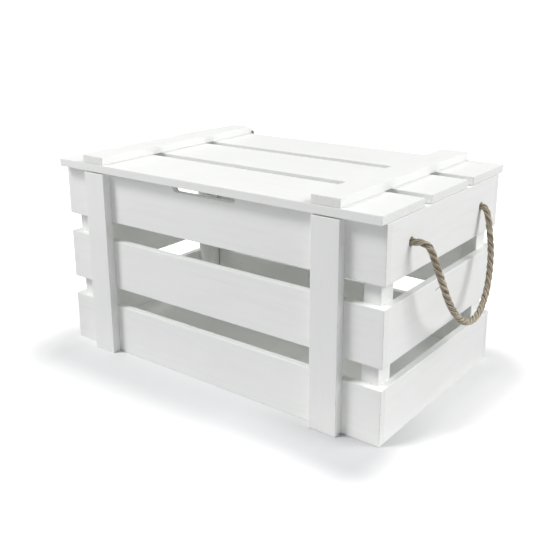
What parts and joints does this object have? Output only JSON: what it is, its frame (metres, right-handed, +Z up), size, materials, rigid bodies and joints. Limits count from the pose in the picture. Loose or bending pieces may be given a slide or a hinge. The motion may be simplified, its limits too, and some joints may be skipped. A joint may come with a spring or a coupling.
{
  "type": "shipping crate",
  "caption": "Slatted white-painted wooden storage crate with a hinged battened lid, finger notch and jute rope handles at both ends.",
  "frame": {"origin": "on the ground, under the centre of the outline without the rope handles", "axes": "+X along the length, +Y towards the hinged back, +Z up"},
  "size_m": [0.4872, 0.2671, 0.2324],
  "materials": {
    "white_painted_wood": "thin matt white paint over sawn softwood, grain just showing",
    "white_painted_plywood": "thin matt white paint over plywood",
    "hinge_steel": "dull zinc-plated steel",
    "nail_steel": "bright steel brads, sunk",
    "jute_rope": "three-strand natural jute, hairy"
  },
  "bodies": {
    "crate": {"back_left_batten": "white_painted_wood", "back_left_post": "white_painted_wood", "back_right_batten": "white_painted_wood", "back_right_post": "white_painted_wood", "back_slat_bottom": "white_painted_wood", "back_slat_middle": "white_painted_wood", "back_slat_top": "white_painted_wood", "back_wall_nails": "nail_steel", "batten_nails": "nail_steel", "floor_nails": "nail_steel", "floor_panel": "white_painted_plywood", "front_left_batten": "white_painted_wood", "front_left_post": "white_painted_wood", "front_right_batten": "white_painted_wood", "front_right_post": "white_painted_wood", "front_slat_bottom": "white_painted_wood", "front_slat_middle": "white_painted_wood", "front_slat_top": "white_painted_wood", "front_wall_nails": "nail_steel", "hinge_crate_screws": "hinge_steel", "left_end_nails": "nail_steel", "left_end_slat_bottom": "white_painted_wood", "left_end_slat_middle": "white_painted_wood", "left_end_slat_top": "white_painted_wood", "left_hinge_crate_leaf": "hinge_steel", "left_hinge_pin": "hinge_steel", "left_rope_back_knot": "jute_rope", "left_rope_front_knot": "jute_rope", "right_end_nails": "nail_steel", "right_end_slat_bottom": "white_painted_wood", "right_end_slat_middle": "white_painted_wood", "right_end_slat_top": "white_painted_wood", "right_hinge_crate_leaf": "hinge_steel", "right_hinge_pin": "hinge_steel", "right_rope_back_knot": "jute_rope", "right_rope_front_knot": "jute_rope"},
    "lid": {"hinge_lid_screws": "hinge_steel", "left_hinge_lid_leaf": "hinge_steel", "lid_board_back": "white_painted_wood", "lid_board_front": "white_painted_wood", "lid_board_middle": "white_painted_wood", "lid_left_batten": "white_painted_wood", "lid_nails": "nail_steel", "lid_right_batten": "white_painted_wood", "right_hinge_lid_leaf": "hinge_steel"},
    "left_handle": {"left_rope_loop": "jute_rope"},
    "right_handle": {"right_rope_loop": "jute_rope"}
  },
  "joints": [
    {"name": "lid_hinge", "type": "hinge", "parent": "crate", "child": "lid", "pos_m": [0, 0.13115, 0.2142], "axis": [-1, 0, 0], "range_deg": [0, 175]},
    {"name": "left_handle_swing", "type": "hinge", "parent": "crate", "child": "left_handle", "pos_m": [-0.2165, -0.00255, 0.1875], "axis": [0, 1, 0], "range_deg": [0, 135]},
    {"name": "right_handle_swing", "type": "hinge", "parent": "crate", "child": "right_handle", "pos_m": [0.2165, -0.00255, 0.1875], "axis": [0, -1, 0], "range_deg": [0, 135]}
  ]
}
